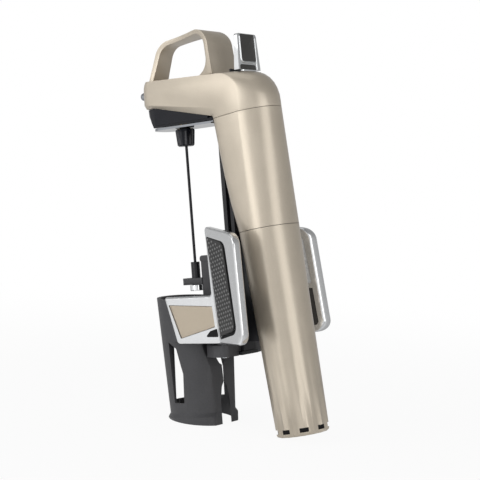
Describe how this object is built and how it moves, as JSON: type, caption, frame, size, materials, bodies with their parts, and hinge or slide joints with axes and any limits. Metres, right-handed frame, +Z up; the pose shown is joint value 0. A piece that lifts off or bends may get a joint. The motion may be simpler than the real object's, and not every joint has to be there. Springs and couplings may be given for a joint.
{
  "type": "wine preservation dispenser",
  "caption": "Hand-held gas dispenser that clamps on a bottle's neck, with a needle, a spout, a thumb trigger and a capsule cup.",
  "frame": {"origin": "on the surface it stands on, under the middle of its outline", "axes": "+Z up, -Y where the spout points, +X its left side; it is its own mirror image across X = 0"},
  "size_m": [0.0866, 0.1462, 0.2307],
  "materials": {
    "champagne": "satin metallic",
    "chrome": "polished",
    "dark_chrome": "polished smoke tint",
    "charcoal": "matte",
    "gloss_black": "gloss",
    "black": "satin",
    "rubber": "matte",
    "steel": "brushed",
    "brass": "turned",
    "aluminium": "turned"
  },
  "bodies": {
    "main_body": {"head_shell": "champagne", "loop_handle": "champagne", "underside_cover": "gloss_black", "base_plate": "dark_chrome", "needle_socket": "brass", "outlet_block": "black", "spout": "chrome", "gas_line": "steel", "trigger_boot": "black", "trigger_pin": "steel", "valve_block": "aluminium", "valve_spring": "steel", "upper_body": "champagne", "regulator_body": "aluminium", "regulator_cap": "brass", "regulator_spring": "steel", "piercing_pin": "steel", "capsule_seal": "rubber", "rail": "black", "rail_screw_upper": "steel", "rail_screw_lower": "steel", "rail_stop": "black"},
    "trigger_body": {"trigger": "chrome", "thumb_pad": "dark_chrome"},
    "valve_body": {"valve_stem": "brass"},
    "piston_body": {"regulator_piston": "brass"},
    "needle_body": {"needle": "steel"},
    "knob_body": {"needle_knob": "gloss_black"},
    "capsule_body": {"gas_capsule": "steel"},
    "cup_body": {"capsule_cup": "champagne", "cup_pad": "rubber"},
    "clamp_body": {"carriage": "charcoal", "neck_saddle": "rubber", "guide_post": "charcoal", "needle_guide": "black", "guide_ferrule": "chrome", "lever_pin_left": "steel", "lever_pin_right": "steel", "lever_spring_left": "steel", "lever_spring_right": "steel"},
    "lever_left_body": {"lever_left": "chrome", "grip_pad_left": "rubber", "side_plate_left": "champagne", "jaw_left": "charcoal", "jaw_liner_left": "rubber"},
    "lever_right_body": {"lever_right": "chrome", "grip_pad_right": "rubber", "side_plate_right": "champagne", "jaw_right": "charcoal", "jaw_liner_right": "rubber"}
  },
  "joints": [
    {"name": "clamp_slide", "type": "slide", "parent": "main_body", "child": "clamp_body", "axis": [0, -0.1495, 0.9888], "range_m": [0, 0.064]},
    {"name": "lever_left_squeeze", "type": "hinge", "parent": "clamp_body", "child": "lever_left_body", "pos_m": [0.014, 0.00891, 0.05801], "axis": [0, -0.1495, 0.9888], "range_deg": [0, 12], "stiffness_Nm_per_rad": 0.6, "springref_deg": -17.19},
    {"name": "lever_right_squeeze", "type": "hinge", "parent": "clamp_body", "child": "lever_right_body", "pos_m": [-0.014, 0.00891, 0.05801], "axis": [0, 0.1495, -0.9888], "range_deg": [0, 12], "stiffness_Nm_per_rad": 0.6, "springref_deg": -17.19},
    {"name": "trigger_press", "type": "hinge", "parent": "main_body", "child": "trigger_body", "pos_m": [0, 0.00939, 0.19725], "axis": [1, 0, 0], "range_deg": [0, 10], "stiffness_Nm_per_rad": 0.8, "springref_deg": -5.73},
    {"name": "valve_press", "type": "slide", "parent": "main_body", "child": "valve_body", "axis": [0, 0.1495, -0.9888], "range_m": [0, 0.0012], "stiffness_N_per_m": 20, "springref_m": -0.001, "deforming": ["valve_spring"]},
    {"name": "regulator_press", "type": "slide", "parent": "main_body", "child": "piston_body", "axis": [0, -0.258, 0.9662], "range_m": [0, 0.0006], "stiffness_N_per_m": 4000, "springref_m": -0.002, "deforming": ["regulator_spring"]},
    {"name": "needle_lower", "type": "slide", "parent": "main_body", "child": "needle_body", "axis": [0, 0.1495, -0.9888], "range_m": [0, 0.002]},
    {"name": "knob_turn", "type": "hinge", "parent": "needle_body", "child": "knob_body", "pos_m": [0, -0.02575, 0.09322], "axis": [0, 0.1495, -0.9888], "range_deg": [0, 720]},
    {"name": "capsule_lower", "type": "slide", "parent": "main_body", "child": "capsule_body", "axis": [0, 0.258, -0.9662], "range_m": [0, 0.006]},
    {"name": "cup_turn", "type": "hinge", "parent": "capsule_body", "child": "cup_body", "pos_m": [0, 0.02849, 0.11811], "axis": [0, 0.258, -0.9662], "range_deg": [0, 1080]}
  ],
  "couplings": [
    {"joint": "valve_press", "follows": "trigger_press", "m_per_rad": 0.0066},
    {"joint": "knob_turn", "follows": "needle_lower", "rad_per_m": 6280},
    {"joint": "cup_turn", "follows": "capsule_lower", "rad_per_m": 3140}
  ]
}
